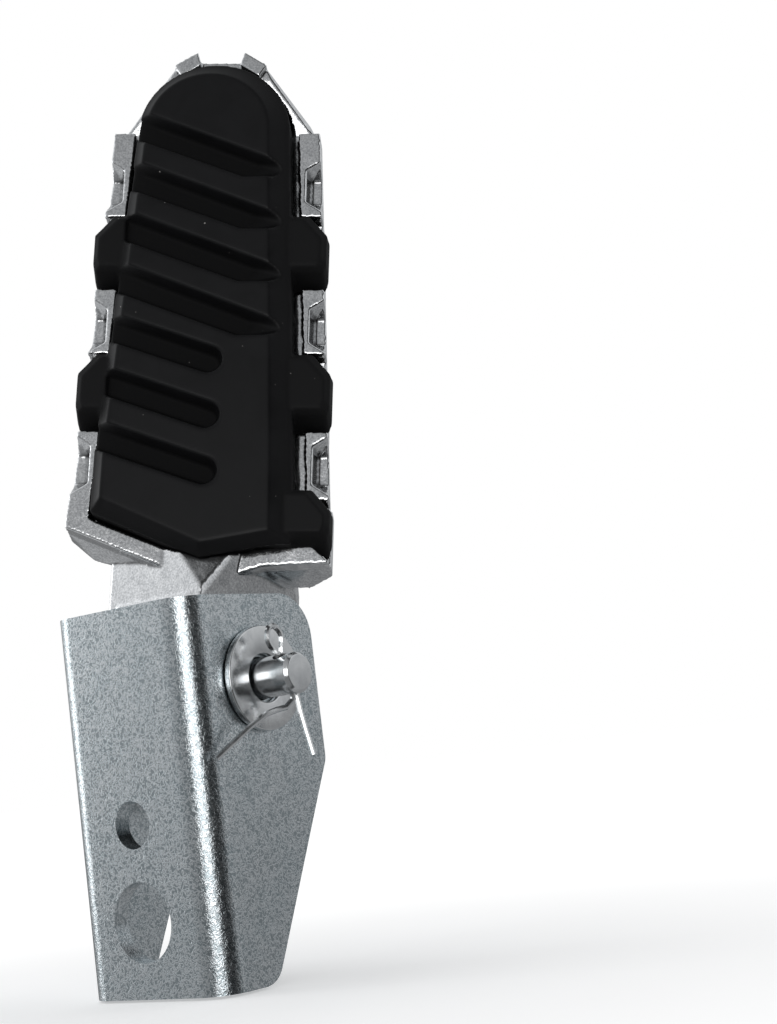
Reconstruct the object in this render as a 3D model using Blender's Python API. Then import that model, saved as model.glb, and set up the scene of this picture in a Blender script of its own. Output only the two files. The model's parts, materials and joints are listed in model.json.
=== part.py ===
"""Folding motorcycle foot peg: a stamped U bracket, a clevis pin and a cast platform with a rubber pad.

Sizes are in millimetres and MM turns them into Blender's metres. World axes: X runs along the hinge pin,
-Y is the bracket's face that lies on the motorcycle frame, +Z points up the bracket. The origin is on that
face, midway between the two bolt holes. The platform is built in its own axes: X across it, Y from the
tread towards the underside, Z from the hinge end to the tip.
"""

from math import atan2, cos, degrees, pi, radians, sin, sqrt, tan

import bmesh
import bpy
from mathutils import Matrix, Vector

MM = 0.001
GAP = 0.3  # clearance between two pieces that touch

# Bracket
BRACKET_X = 0.8  # its middle plane, measured from the bolt holes
BRACKET_WIDTH = 38.2
BRACKET_LOW = -23.8
BRACKET_HIGH = 51.2
PLATE = 3.6
BEND_RADIUS = 6.5  # outside of the bend
EAR_REACH = 36.0
EAR_TOP_ROUND = 9.0
EAR_WIDEST_Z = 17.4
EAR_FOOT_Y = 16.0
EAR_FOOT_Z = -20.2
BOLT_SPACING = 18.6
SMALL_BOLT_HOLE = 9.2
LARGE_BOLT_HOLE = 15.4

# Hinge pin
PIN_Y = 19.1
PIN_Z = 34.4
PIN_D = 8.0
PIN_BORE = 8.6
PIN_HEAD_D = 13.8
PIN_HEAD = 2.6
PIN_TAIL = 10.6  # beyond the outer face of the ear
WASHER_D = 20.6
WASHER_BORE = 9.6
WASHER = 1.5
SPLIT_HOLE = 3.2
SPLIT_HOLE_FROM_END = 3.5
SPLIT_WIRE = 1.15
SPLIT_TILT = radians(18)

# Peg in its folded rest position
LEAN = radians(13)  # the tang leans this far away from the bracket's web
TWIST = radians(37)  # the platform is turned this far about its length, against the hinge
TANG_WIDTH = 26.4
TANG_FRONT = -11.7
TANG_BACK = 17.6
NECK_INSET = 0.15
TANG_FOOT = -17.8
TANG_WALL = 3.6
TANG_CORNER = 3.0
TANG_FOOT_RADIUS = 15.0  # round the pin, so that the foot clears the web as the peg swings down
STOP_LEAN = radians(80)  # the foot is flat against the web here
SIDE_PLATE = 1.2
SIDE_PLATE_BACK = 18.3
SIDE_PLATE_HIGH = 16.0
SLEEVE_D = 12.4

# Platform
PLATFORM_X = 7.3
PLATFORM_Y = -7.6
RIM_LOW_HALF = 27.0  # half width of the rim at RIM_LOW
RIM_LOW = 27.0
RIM_TAPER = 0.0525
RIM_HIGH = 119.7
FLOOR = 4.0  # depth of the tray that the pad sits in
FLANGE = 7.0
BLOCK_DEPTH = 11.0
PANEL_DEPTH = 14.0
PANEL_FIELD_DEPTH = 13.0
TIP_SLOPE = radians(34)  # the tip's underside falls away from the panel at this angle
TIP_SLOPE_Z = 122.3
RIM_WIDTH = 4.6
RIM_LEDGE = 1.3  # left standing between a valley and the pad
VALLEY_FLANK = 3.5  # length of a tooth's slope at the rim's outer edge
VALLEY_INNER_FLANK = 1.0
VALLEY_FLOORS = ((41.4, 47.6), (72.3, 77.9), (104.5, 110.0))
EAR_CLEARANCE = 21.0  # radius round the pin that the ears sweep
SPLIT_CLEARANCE = 23.4  # and that the split pin sweeps
LOBE_SPANS = ((52.0, 68.4), (83.6, 99.6))
BLOCK_SPANS = ((57.4, 66.5, 51.1), (90.9, 100.1, 83.4))
SCREW_STATIONS = (45.7, 104.0)
KNOB_D = 14.0
KNOB = 6.2
KNOB_Z = 128.4

# Pad and its screws
PAD_TOP = -5.2
PAD_FOOT = 3.7
PAD_HALF_HIGH = 15.9
GROOVE_SLOPE = radians(21)
SLOT_SLOPE = radians(19)
GROOVE_WIDTH = 5.6
GROOVE_PITCH = 12.0
GROOVE_FIRST_Z = 118.9
GROOVE_DEPTH = 2.8
SCREW_D = 5.0
SCREW_HEAD_D = 9.2
SCREW_HEAD = 3.4
SCREW_SLOT = 11.5
SCREW_WASHER_D = 10.0
BACKING = 1.6
INSERT_D = 8.0


# ---------------------------------------------------------------- helpers


def clear_scene():
    for obj in list(bpy.data.objects):
        bpy.data.objects.remove(obj, do_unlink=True)


def collection(name, helper=False):
    made = bpy.data.collections.new(name)
    bpy.context.scene.collection.children.link(made)
    made.hide_render = helper
    return made


clear_scene()
PARTS = collection("foot_peg")
CUTTERS = collection("cutters", helper=True)


def material(name, colour, roughness, metallic):
    made = bpy.data.materials.new(name)
    made.use_nodes = True
    shader = made.node_tree.nodes["Principled BSDF"]
    shader.inputs["Base Color"].default_value = (*colour, 1.0)
    shader.inputs["Roughness"].default_value = roughness
    shader.inputs["Metallic"].default_value = metallic
    made.diffuse_color = (*colour, 1.0)
    return made


def empty(name, parent=None, location=(0, 0, 0), rotation=None):
    made = bpy.data.objects.new(name, None)
    made.empty_display_size = 0.01
    PARTS.objects.link(made)
    made.parent = parent
    turn = rotation.to_4x4() if rotation else Matrix.Identity(4)
    made.matrix_basis = Matrix.Translation(Vector(location) * MM) @ turn
    return made


def place(name, mesh, into, parent=None, look=None):
    made = bpy.data.objects.new(name, mesh)
    into.objects.link(made)
    made.parent = parent
    if look:
        mesh.materials.append(look)
    if into is CUTTERS:
        made.hide_render = True
        made.display_type = "WIRE"
    return made


def finish_mesh(name, bm):
    bmesh.ops.recalc_face_normals(bm, faces=bm.faces)
    mesh = bpy.data.meshes.new(name)
    bm.to_mesh(mesh)
    bm.free()
    return mesh


def prism_mesh(name, outline, axis, start, end):
    """A flat outline pushed along one axis. Its two coordinates are the other axes in x, y, z order."""
    bm = bmesh.new()
    others = [i for i in range(3) if i != axis]
    corners = []
    for point in outline:
        at = Vector((0, 0, 0))
        at[others[0]], at[others[1]], at[axis] = point[0], point[1], start
        corners.append(bm.verts.new(at * MM))
    face = bm.faces.new(corners)
    pushed = bmesh.ops.extrude_face_region(bm, geom=[face])
    step = Vector((0, 0, 0))
    step[axis] = (end - start) * MM
    moved = [v for v in pushed["geom"] if isinstance(v, bmesh.types.BMVert)]
    bmesh.ops.translate(bm, verts=moved, vec=step)
    return finish_mesh(name, bm)


def hull_mesh(name, points):
    bm = bmesh.new()
    for point in points:
        bm.verts.new(Vector(point) * MM)
    result = bmesh.ops.convex_hull(bm, input=bm.verts)
    unused = {v for v in result["geom_interior"] if isinstance(v, bmesh.types.BMVert)}
    bmesh.ops.delete(bm, geom=list(unused), context="VERTS")
    bmesh.ops.dissolve_limit(bm, angle_limit=radians(0.5), verts=bm.verts, edges=bm.edges)
    return finish_mesh(name, bm)


def to_axis(axis):
    """The turn that takes Z to the world axis of this number."""
    if axis == 0:
        return Matrix.Rotation(pi / 2, 4, "Y")
    if axis == 1:
        return Matrix.Rotation(-pi / 2, 4, "X")
    return Matrix.Identity(4)


def cylinder_mesh(name, diameter, start, end, axis, at=(0, 0, 0), end_diameter=None, segments=40):
    bm = bmesh.new()
    last = diameter if end_diameter is None else end_diameter
    bmesh.ops.create_cone(
        bm,
        cap_ends=True,
        segments=segments,
        radius1=diameter / 2 * MM,
        radius2=last / 2 * MM,
        depth=(end - start) * MM,
    )
    centre = Vector(at)
    centre[axis] = (start + end) / 2
    bmesh.ops.transform(bm, matrix=Matrix.Translation(centre * MM) @ to_axis(axis), verts=bm.verts)
    return finish_mesh(name, bm)


def turned_mesh(name, profile, axis, at=(0, 0, 0), steps=40):
    """A profile of (radius, distance along the axis) spun into a solid. It starts and ends on the axis."""
    bm = bmesh.new()
    corners = [bm.verts.new(Vector((radius, 0, along)) * MM) for radius, along in profile]
    edges = [bm.edges.new(pair) for pair in zip(corners, corners[1:])]
    bmesh.ops.spin(
        bm, geom=corners + edges, cent=(0, 0, 0), axis=(0, 0, 1), angle=2 * pi, steps=steps, use_merge=True
    )
    bmesh.ops.remove_doubles(bm, verts=bm.verts, dist=1e-7)
    bmesh.ops.transform(bm, matrix=Matrix.Translation(Vector(at) * MM) @ to_axis(axis), verts=bm.verts)
    return finish_mesh(name, bm)


def arc(centre, radius, first, last, steps):
    """Points round an arc, angles in degrees."""
    turns = [radians(first + (last - first) * i / steps) for i in range(steps + 1)]
    return [(centre[0] + radius * cos(t), centre[1] + radius * sin(t)) for t in turns]


def rounded(outline, radius, steps=4):
    """The outline with each corner swapped for an arc of this radius."""
    found = []
    count = len(outline)
    for i, corner in enumerate(outline):
        here = Vector(corner)
        before = (Vector(outline[i - 1]) - here).normalized()
        after = (Vector(outline[(i + 1) % count]) - here).normalized()
        half = before.angle(after) / 2
        middle = here + (before + after).normalized() * radius / sin(half)
        start = here + before * radius * cos(half) / sin(half)
        end = here + after * radius * cos(half) / sin(half)
        first = atan2(start.y - middle.y, start.x - middle.x)
        sweep = atan2(end.y - middle.y, end.x - middle.x) - first
        sweep = (sweep + pi) % (2 * pi) - pi
        for step in range(steps + 1):
            turn = first + sweep * step / steps
            found.append((middle.x + radius * cos(turn), middle.y + radius * sin(turn)))
    return found


def slot_outline(centre, width, length, steps=10):
    """A slot with round ends, long way along the second coordinate."""
    x, z = centre
    reach = (length - width) / 2
    return arc((x, z + reach), width / 2, 0, 180, steps) + arc((x, z - reach), width / 2, 180, 360, steps)


def boolean(obj, other, operation):
    modifier = obj.modifiers.new(f"{operation.lower()} {other.name}", "BOOLEAN")
    modifier.operation = operation
    modifier.solver = "EXACT"
    modifier.object = other


def cut(obj, mesh, parent=None):
    boolean(obj, place(f"{obj.name}_{mesh.name}", mesh, CUTTERS, parent), "DIFFERENCE")


def join(obj, mesh, parent=None):
    boolean(obj, place(f"{obj.name}_{mesh.name}", mesh, CUTTERS, parent), "UNION")


ZINC = material("zinc_plated_steel", (0.56, 0.59, 0.61), 0.36, 1.0)
CAST = material("plated_casting", (0.60, 0.61, 0.62), 0.24, 1.0)
BRIGHT = material("bright_plating", (0.74, 0.75, 0.76), 0.16, 1.0)
RUBBER = material("black_rubber", (0.017, 0.017, 0.018), 0.52, 0.0)

# ---------------------------------------------------------------- frames

HINGE = empty("hinge_frame", None, (BRACKET_X, PIN_Y, PIN_Z))
TANG = empty("tang_frame", HINGE, rotation=Matrix.Rotation(-LEAN, 3, "X"))
PLATFORM = empty("platform_frame", TANG, (PLATFORM_X, PLATFORM_Y, 0), Matrix.Rotation(TWIST, 3, "Z"))
EAR_OUT = BRACKET_WIDTH / 2
EAR_IN = EAR_OUT - PLATE


# ---------------------------------------------------------------- bracket


def ear_outline():
    """The ear's edge in (y, z), from the web's foot round to the web's head."""
    foot = [(0, BRACKET_LOW), (EAR_FOOT_Y - 4.5, BRACKET_LOW), (EAR_FOOT_Y, EAR_FOOT_Z)]
    widest = [(EAR_REACH, EAR_WIDEST_Z)]
    shoulder = arc((EAR_REACH - EAR_TOP_ROUND, BRACKET_HIGH - EAR_TOP_ROUND), EAR_TOP_ROUND, 0, 90, 8)
    return foot + widest + shoulder + [(0, BRACKET_HIGH)]


def bracket_section():
    """The U seen from above, in (x, y): outer wall round, then inner wall back."""
    inner_radius = BEND_RADIUS - PLATE
    left, right = BRACKET_X - EAR_OUT, BRACKET_X + EAR_OUT
    deep = EAR_REACH + 5
    outer = [(left, deep)]
    outer += arc((left + BEND_RADIUS, BEND_RADIUS), BEND_RADIUS, 180, 270, 8)
    outer += arc((right - BEND_RADIUS, BEND_RADIUS), BEND_RADIUS, 270, 360, 8)
    outer += [(right, deep)]
    inner = [(right - PLATE, deep)]
    inner += arc((right - BEND_RADIUS, BEND_RADIUS), inner_radius, 360, 270, 8)
    inner += arc((left + BEND_RADIUS, BEND_RADIUS), inner_radius, 270, 180, 8)
    inner += [(left + PLATE, deep)]
    return outer + inner


def build_bracket():
    mesh = prism_mesh("mount_bracket", bracket_section(), 2, BRACKET_LOW - 5, BRACKET_HIGH + 5)
    bracket = place("mount_bracket", mesh, PARTS, None, ZINC)
    keep = prism_mesh("ear_shape", ear_outline(), 0, BRACKET_X - EAR_OUT - 2, BRACKET_X + EAR_OUT + 2)
    boolean(bracket, place("mount_bracket_ear_shape", keep, CUTTERS), "INTERSECT")
    for size, z in ((SMALL_BOLT_HOLE, BOLT_SPACING / 2), (LARGE_BOLT_HOLE, -BOLT_SPACING / 2)):
        cut(bracket, cylinder_mesh(f"bolt_hole_{size:.0f}", size, -4, PLATE + 4, 1, (0, 0, z)))
    bore = cylinder_mesh("pin_bore", PIN_BORE, -EAR_OUT - 3, EAR_OUT + 3, 0)
    cut(bracket, bore, HINGE)


# ---------------------------------------------------------------- pin, washer and split pin


def build_pin():
    """The axle with its head on the left and a cross hole near its right end."""
    seat = -EAR_OUT - GAP
    head, shank, tail = PIN_HEAD_D / 2, PIN_D / 2, EAR_OUT + PIN_TAIL
    profile = [(0, seat - PIN_HEAD), (head - 0.4, seat - PIN_HEAD), (head, seat - PIN_HEAD + 0.4)]
    profile += [(head, seat), (shank, seat), (shank, tail - 0.9), (shank - 0.7, tail), (0, tail)]
    pin = place("pivot_pin", turned_mesh("turned", profile, 0), PARTS, HINGE, BRIGHT)
    hole = cylinder_mesh("split_hole", SPLIT_HOLE, -PIN_D, PIN_D, 2, segments=24)
    hole.transform(Matrix.Translation((split_x() * MM, 0, 0)) @ Matrix.Rotation(SPLIT_TILT, 4, "X"))
    cut(pin, hole, HINGE)


def split_x():
    return EAR_OUT + PIN_TAIL - SPLIT_HOLE_FROM_END


def build_pin_washer():
    start = EAR_OUT + GAP
    disc = cylinder_mesh("disc", WASHER_D, start, start + WASHER, 0, segments=48)
    washer = place("pin_washer", disc, PARTS, HINGE, BRIGHT)
    cut(washer, cylinder_mesh("bore", WASHER_BORE, start - 1, start + WASHER + 1, 0), HINGE)


def build_split_pin():
    """One wire: up through the cross hole, round the eye, back down, with both legs opened."""
    x = split_x()
    side = SPLIT_WIRE / 2 + 0.12
    down = Vector((0, sin(SPLIT_TILT), -cos(SPLIT_TILT)))
    across = Vector((0, cos(SPLIT_TILT), sin(SPLIT_TILT)))
    middle = Vector((x, 0, 0))
    eye = [(-1, 4.6), (-2.6, 6.6), (-2.4, 8.6), (0, 9.9), (2.4, 8.6), (2.6, 6.6), (1, 4.6)]
    left_leg = [middle + Vector((-4.7, -17.2, -14.6)), middle + Vector((-1.8, -5.0, -7.2))]
    right_leg = [middle + Vector((0.6, 2.2, -8.0)), middle + Vector((1.9, 2.9, -16.0))]
    route = list(left_leg)
    route += [middle + down * 5.0 - across * side, middle + down * 2.0 - across * side]
    route += [middle - down * 3.0 - across * side]
    route += [middle - down * far + across * sideways * 0.72 for sideways, far in eye]
    route += [middle - down * 3.0 + across * side, middle + down * 2.0 + across * side]
    route += [middle + down * 5.0 + across * side]
    route += right_leg
    curve = bpy.data.curves.new("split_pin", "CURVE")
    curve.dimensions = "3D"
    curve.resolution_u = 3
    curve.bevel_depth = SPLIT_WIRE / 2 * MM
    curve.bevel_resolution = 2
    curve.use_fill_caps = True
    spline = curve.splines.new("BEZIER")
    spline.bezier_points.add(len(route) - 1)
    for point, at in zip(spline.bezier_points, route):
        point.co = at * MM
        point.handle_left_type = point.handle_right_type = "AUTO"
    place("split_pin", curve, PARTS, HINGE, BRIGHT)


# ---------------------------------------------------------------- peg body


def rim_half(z):
    return RIM_LOW_HALF - (z - RIM_LOW) * RIM_TAPER


HINGE_END = ((-RIM_LOW_HALF, 31.0), (1.8, 19.5), (13.6, 23.2), (RIM_LOW_HALF, 24.0))
SKIRT_END = ((-22.5, 27.0), (1.0, 22.4), (14.0, 21.4), (22.5, 21.6))
TIP_END = ((18.4, 124.4), (12.0, 131.6), (-12.0, 131.6), (-17.4, 124.4))


def in_platform(x, y, z=0.0):
    """A point of the tang's axes, given in the platform's axes."""
    moved = Vector((x - PLATFORM_X, y - PLATFORM_Y, z))
    return tuple(Matrix.Rotation(-TWIST, 3, "Z") @ moved)


def rim_segment(name, side, low, high):
    """A stretch of the raised rim, from one pad lobe to the next."""
    points = []
    for z in (low, high):
        outer = rim_half(z)
        for x in (outer, outer - RIM_WIDTH):
            points += [(side * x, 0.0, z), (side * x, FLOOR + 0.5, z)]
    return hull_mesh(name, points)


def valley(name, side, low, high):
    """The cutter for a valley between two teeth: open outwards, with sloped flanks and a ledge left inside."""
    outer = rim_half((low + high) / 2)
    points = []
    for x, flank in ((outer + 2.0, VALLEY_FLANK), (outer - RIM_WIDTH + RIM_LEDGE, VALLEY_INNER_FLANK)):
        for depth, reach in ((0.0, flank), (-2.0, flank * 1.5)):
            points += [(side * x, depth, low - reach), (side * x, depth, high + reach)]
    for x in (outer + 2.0, outer - RIM_WIDTH + RIM_LEDGE + 1.0):
        points += [(side * x, FLOOR, low), (side * x, FLOOR, high)]
    return hull_mesh(name, points)


def block(name, side, low, high, ramp):
    """A rib under the rim, with a chamfered outer edge and a ramp down to the next pocket."""
    points = []
    for z in (low, high):
        outer = rim_half(z)
        points += [(side * outer, FLANGE - 0.5, z), (side * outer, FLANGE + 1.2, z)]
        points += [(side * (outer - 3.4), BLOCK_DEPTH, z), (side * 12, BLOCK_DEPTH, z)]
        points.append((side * 12, FLANGE - 0.5, z))
    points += [(side * rim_half(ramp), FLANGE - 0.5, ramp), (side * 12, FLANGE - 0.5, ramp)]
    return hull_mesh(name, points)


def panel_outline(inset, low):
    """The raised panel under the platform, in (x, z), with a pointed hinge end."""
    return [
        (-17.8 + inset, 45.0 + low),
        (1.6, 36.4 + low),
        (18.4 - inset, 40.2 + low),
        (15.2 - inset, 122.0 - inset),
        (-14.8 + inset, 122.0 - inset),
    ]


def neck_points():
    """Corners of the tang where it runs into the platform, in platform axes."""
    half, front, back = TANG_WIDTH / 2 - NECK_INSET, TANG_FRONT + NECK_INSET, TANG_BACK - NECK_INSET
    tops = [(-half, front, 24.5), (half, front, 17.0), (half, back, 21.0), (-half, back, 22.0)]
    return [in_platform(*top) for top in tops] + [in_platform(x, y, 14.6) for x, y, _ in tops]


def build_skirt(add):
    """The wall below the rim at the hinge end, in three flat stretches with a chamfered outer corner."""
    stations = list(zip(HINGE_END, SKIRT_END))
    for i, pair in enumerate(zip(stations, stations[1:])):
        points = []
        for (x, z), (foot_x, foot_z) in pair:
            points += [(x, FLOOR, z), (foot_x, BLOCK_DEPTH, foot_z), (foot_x, BLOCK_DEPTH, 35.5)]
            points.append((x, FLOOR, 36.0))
            if abs(x) == RIM_LOW_HALF:
                points += [(x, 8.4, z - 0.6), (x, 8.4, 35.5)]
        add(hull_mesh(f"skirt_{i}", points))


def build_peg_body():
    shoulder = rim_half(RIM_HIGH)
    flange = [*HINGE_END, (shoulder, RIM_HIGH), *TIP_END, (-shoulder, RIM_HIGH)]
    body = place("peg_body", prism_mesh("flange", flange, 1, FLOOR, FLANGE), PARTS, PLATFORM, CAST)

    def add(mesh):
        join(body, mesh, PLATFORM)

    band = list(HINGE_END) + [(x * 0.86, z + 3.6) for x, z in reversed(HINGE_END)]
    add(prism_mesh("hinge_end_band", band, 1, 0.0, FLOOR + 0.5))
    for side in (-1, 1):
        foot = 31.5 if side < 0 else 37.0
        stops = [foot] + [z for low, high in LOBE_SPANS for z in (low - GAP, high + GAP)] + [RIM_HIGH]
        for i, (low, high) in enumerate(zip(stops[::2], stops[1::2])):
            add(rim_segment(f"rim_{i}_{side}", side, low, high))
        for i, span in enumerate(BLOCK_SPANS):
            add(block(f"block_{i}_{side}", side, *span))
    dip = build_tip(add)
    panel = [(x, PANEL_DEPTH, z) for x, z in panel_outline(0, 0)]
    panel += [(x * 1.1, FLANGE - 1, z + 0.2) for x, z in panel_outline(0, 0)]
    add(hull_mesh("panel", panel))
    build_skirt(add)
    ramp = [(-17.6, 12.4, 44.0), (1.6, 12.4, 35.8), (18.0, 12.4, 39.6), (-16, FLANGE, 46), (17, FLANGE, 42)]
    crown = [(-9.0, 4.0, 25.0), (1.8, 3.4, 20.9), (8.5, 4.0, 23.0)]
    add(hull_mesh("neck", crown + neck_points()))
    add(hull_mesh("neck_ramp", ramp + neck_points()))
    build_tang(body)
    cut_platform(body)
    cut(body, dip, PLATFORM)


def slope_depth(z):
    """Depth of the tip's sloped underside."""
    return PANEL_DEPTH - (z - TIP_SLOPE_Z) * tan(TIP_SLOPE)


def build_tip(add):
    """The sloped nose with its two prongs and the bumper knob."""
    nose = []
    for side in (-1, 1):
        corner = rim_half(RIM_HIGH) - 0.3
        for front, back, z in ((corner, corner, RIM_HIGH - 0.6), (17.3, 19.5, 124.6)):
            nose += [(side * front, FLOOR + 0.4, z), (side * back, FLANGE - 0.4, z)]
        for x, z in ((10.8, 133.4), (10.1, 135.6), (5.0, 137.3)):
            nose += [(side * x, 1.0, z), (side * x, slope_depth(z), z)]
        nose += [(side * 18.9, 11.0, 127.0), (side * 14.8, PANEL_DEPTH - 0.15, TIP_SLOPE_Z)]
        nose.append((side * 16.5, FLANGE - 1.3, 116.0))
        edge = ((5.1, 139.5), (10.1, 136.3), (8.5, 133.6), (4.2, 136.4))
        prong = [(side * x, 0.0, z) for x, z in edge] + [(side * x, 2.4, z - 0.5) for x, z in edge]
        add(hull_mesh(f"prong_{side}", prong + [(side * 7.6, 3.6, 136.0), (side * 6.0, 3.6, 133.0)]))
    add(hull_mesh("nose", nose))
    knob = cylinder_mesh("knob", KNOB_D, -3.0, KNOB, 1, end_diameter=KNOB_D - 0.8)
    foot = cylinder_mesh("knob_foot", KNOB_D + 2.4, -2.0, 1.0, 1, end_diameter=KNOB_D + 0.6)
    dip_corners = ((-3.2, 1.6), (3.2, 1.6), (0, -2.8))
    dip = hull_mesh("knob_dip", [(x, y, z) for x, z in dip_corners for y in (KNOB - 1.2, KNOB + 2)])
    seat = Vector((0.6, slope_depth(KNOB_Z), KNOB_Z)) * MM
    for mesh in (knob, foot, dip):
        mesh.transform(Matrix.Translation(seat) @ Matrix.Rotation(TIP_SLOPE, 4, "X"))
    add(knob)
    add(foot)
    return dip


def build_tang(body):
    """The hollow box that hangs between the bracket's ears and turns on the pin."""
    half = TANG_WIDTH / 2
    corners = [(-half, TANG_FRONT), (half, TANG_FRONT), (half, TANG_BACK), (-half, TANG_BACK)]
    section = rounded(corners, TANG_CORNER)
    join(body, prism_mesh("tang", section, 2, TANG_FOOT, 16.4), TANG)


def cut_platform(body):
    half = TANG_WIDTH / 2
    inner = half - TANG_WALL
    front, back = TANG_FRONT + TANG_WALL, TANG_BACK - TANG_WALL
    hollow = rounded([(-inner, front), (inner, front), (inner, back), (-inner, back)], 1.5, 3)
    cut(body, prism_mesh("tang_hollow", hollow, 2, TANG_FOOT - 3, 14.5), TANG)
    # The front of the foot is round about the pin, and the rest lies flat against the web at the stop.
    stop = STOP_LEAN + pi
    tangent = Vector((cos(stop), sin(stop))) * TANG_FOOT_RADIUS
    heel = tangent + Vector((-sin(stop), cos(stop))) * 26
    top = 2.0
    foot = [(TANG_FRONT - 9, top), (-sqrt(TANG_FOOT_RADIUS**2 - top**2), top)]
    foot += arc((0, 0), TANG_FOOT_RADIUS, 187.9, degrees(stop), 14)
    foot += [tuple(heel), (heel.x, TANG_FOOT - 8), (TANG_FRONT - 9, TANG_FOOT - 8)]
    cut(body, prism_mesh("foot_round", foot, 0, -half - 4, half + 4), TANG)
    cut(body, cylinder_mesh("pin_bore", SLEEVE_D, -half - 4, half + 4, 0), TANG)
    ear_out = EAR_OUT + 0.5
    for name, radius, first, last in (
        ("left_ear", EAR_CLEARANCE, -ear_out - 14, GAP - EAR_IN),
        ("right_ear", EAR_CLEARANCE, EAR_IN - GAP, ear_out + 0.1),
        ("split_pin", SPLIT_CLEARANCE, ear_out, ear_out + 14),
    ):
        sweep = arc((0, 0), radius, 10, 170, 24) + [(-radius, 0), (radius, 0)]
        cut(body, prism_mesh(f"{name}_sweep", sweep, 0, first, last), TANG)
    cut(body, prism_mesh("pad_tray", pad_outline(-0.5), 1, PAD_TOP - 8, FLOOR + 0.1), PLATFORM)
    for side in (-1, 1):
        for i, (low, high) in enumerate(VALLEY_FLOORS):
            cut(body, valley(f"valley_{i}_{side}", side, low, high), PLATFORM)
    field = rounded(panel_outline(3.4, 3.6), 4.0)
    cut(body, prism_mesh("panel_field", field, 1, PANEL_FIELD_DEPTH, PANEL_DEPTH + 6), PLATFORM)
    for i, z in enumerate(SCREW_STATIONS):
        counterbore = slot_outline((0.6, z + 2.6), 13.6, 18.6)
        cut(body, prism_mesh(f"counterbore_{i}", counterbore, 1, 9.6, PANEL_DEPTH + 6), PLATFORM)
        slot = slot_outline((0.6, z + 1.8), SCREW_D + 1.4, SCREW_SLOT)
        cut(body, prism_mesh(f"slot_{i}", slot, 1, -4, PANEL_DEPTH + 6), PLATFORM)


def build_side_plates():
    """Thin plates on the tang's cheeks, which turn with it and take the wear against the ears."""
    outline = arc((SIDE_PLATE_BACK - 7.5, SIDE_PLATE_HIGH - 7.5), 7.5, 0, 90, 6)
    outline += arc((-4.0, SIDE_PLATE_HIGH - 7.5), 7.5, 90, 180, 6)
    outline += arc((0, 0), TANG_FOOT_RADIUS - 0.8, 218, 290, 8)
    outline += arc((SIDE_PLATE_BACK - 6.0, TANG_FOOT + 7.0), 6.0, 270, 360, 6)
    for name, side in (("side_plate_left", -1), ("side_plate_right", 1)):
        near = TANG_WIDTH / 2 + GAP
        spans = sorted((side * near, side * (near + SIDE_PLATE)))
        plate = place(name, prism_mesh(name, outline, 0, *spans), PARTS, TANG, ZINC)
        cut(plate, cylinder_mesh("bore", PIN_BORE, -EAR_OUT, EAR_OUT, 0), TANG)


def build_sleeve():
    """The bush that is pressed through both cheeks of the tang, and that the pin runs in."""
    half = TANG_WIDTH / 2
    tube = cylinder_mesh("tube", SLEEVE_D - 2 * GAP, -half, half, 0)
    sleeve = place("pivot_sleeve", tube, PARTS, TANG, BRIGHT)
    cut(sleeve, cylinder_mesh("bore", PIN_BORE, -half - 2, half + 2, 0), TANG)


# ---------------------------------------------------------------- pad and its screws


def pad_outline(inset=0.0):
    """The pad's edge in (x, z): pointed at the hinge end and round at the tip."""
    half = PAD_HALF_HIGH - inset
    low = [(-21.6 + inset, 33.4 + inset), (1.6, 24.2 + inset)]
    low += [(12.4, 27.6 + inset), (19.8 - inset, 27.8 + inset)]
    dome = arc((0, 134.8 - PAD_HALF_HIGH), half, 0, 180, 18)
    return low + dome


def pad_lobe(name, side, low, high):
    """A lobe that reaches out through the gap between two teeth."""
    reach = rim_half((low + high) / 2) + 0.6
    low, high = low + GAP, high - GAP
    points = []
    for depth, edge in ((PAD_TOP + 2.2, 1.4), (PAD_TOP + 3.4, 0.3), (PAD_FOOT - 0.3, 0.0)):
        for z in (low + edge, high - edge - 2.6):
            points += [(side * (reach - edge), depth, z), (side * 12, depth, z)]
        points += [(side * (reach - 3.4), depth, high - edge), (side * 12, depth, high - edge)]
    return hull_mesh(name, points)


def build_pad():
    base = prism_mesh("base", pad_outline(), 1, PAD_TOP + 2.4, PAD_FOOT)
    pad = place("rubber_pad", base, PARTS, PLATFORM, RUBBER)
    top = [(x, PAD_TOP, z) for x, z in pad_outline(2.6)]
    top += [(x, PAD_TOP + 2.6, z) for x, z in pad_outline(0.1)]
    crown = place("rubber_pad_crown", hull_mesh("crown", top), CUTTERS, PLATFORM)
    boolean(pad, crown, "UNION")
    for side in (-1, 1):
        for i, (low, high) in enumerate(LOBE_SPANS):
            join(pad, pad_lobe(f"lobe_{i}_{side}", side, low, high), PLATFORM)
    join(pad, pad_lobe("lobe_foot", 1, 27.6, 36.6), PLATFORM)
    for i in range(7):
        cut(pad, groove_mesh(i), PLATFORM)
    plate = rounded([(-11.4, 37.2), (12.0, 37.2), (9.6, 113.2), (-9.0, 113.2)], 3)
    pocket_floor = PAD_FOOT - BACKING - 4 * GAP
    cut(pad, prism_mesh("backing_pocket", plate, 1, pocket_floor, PAD_FOOT + 2), PLATFORM)
    for i, z in enumerate(SCREW_STATIONS):
        pocket = cylinder_mesh(f"insert_pocket_{i}", INSERT_D + 2 * GAP, -1.7, PAD_FOOT + 1, 1, (0.6, 0, z))
        cut(pad, pocket, PLATFORM)


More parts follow.
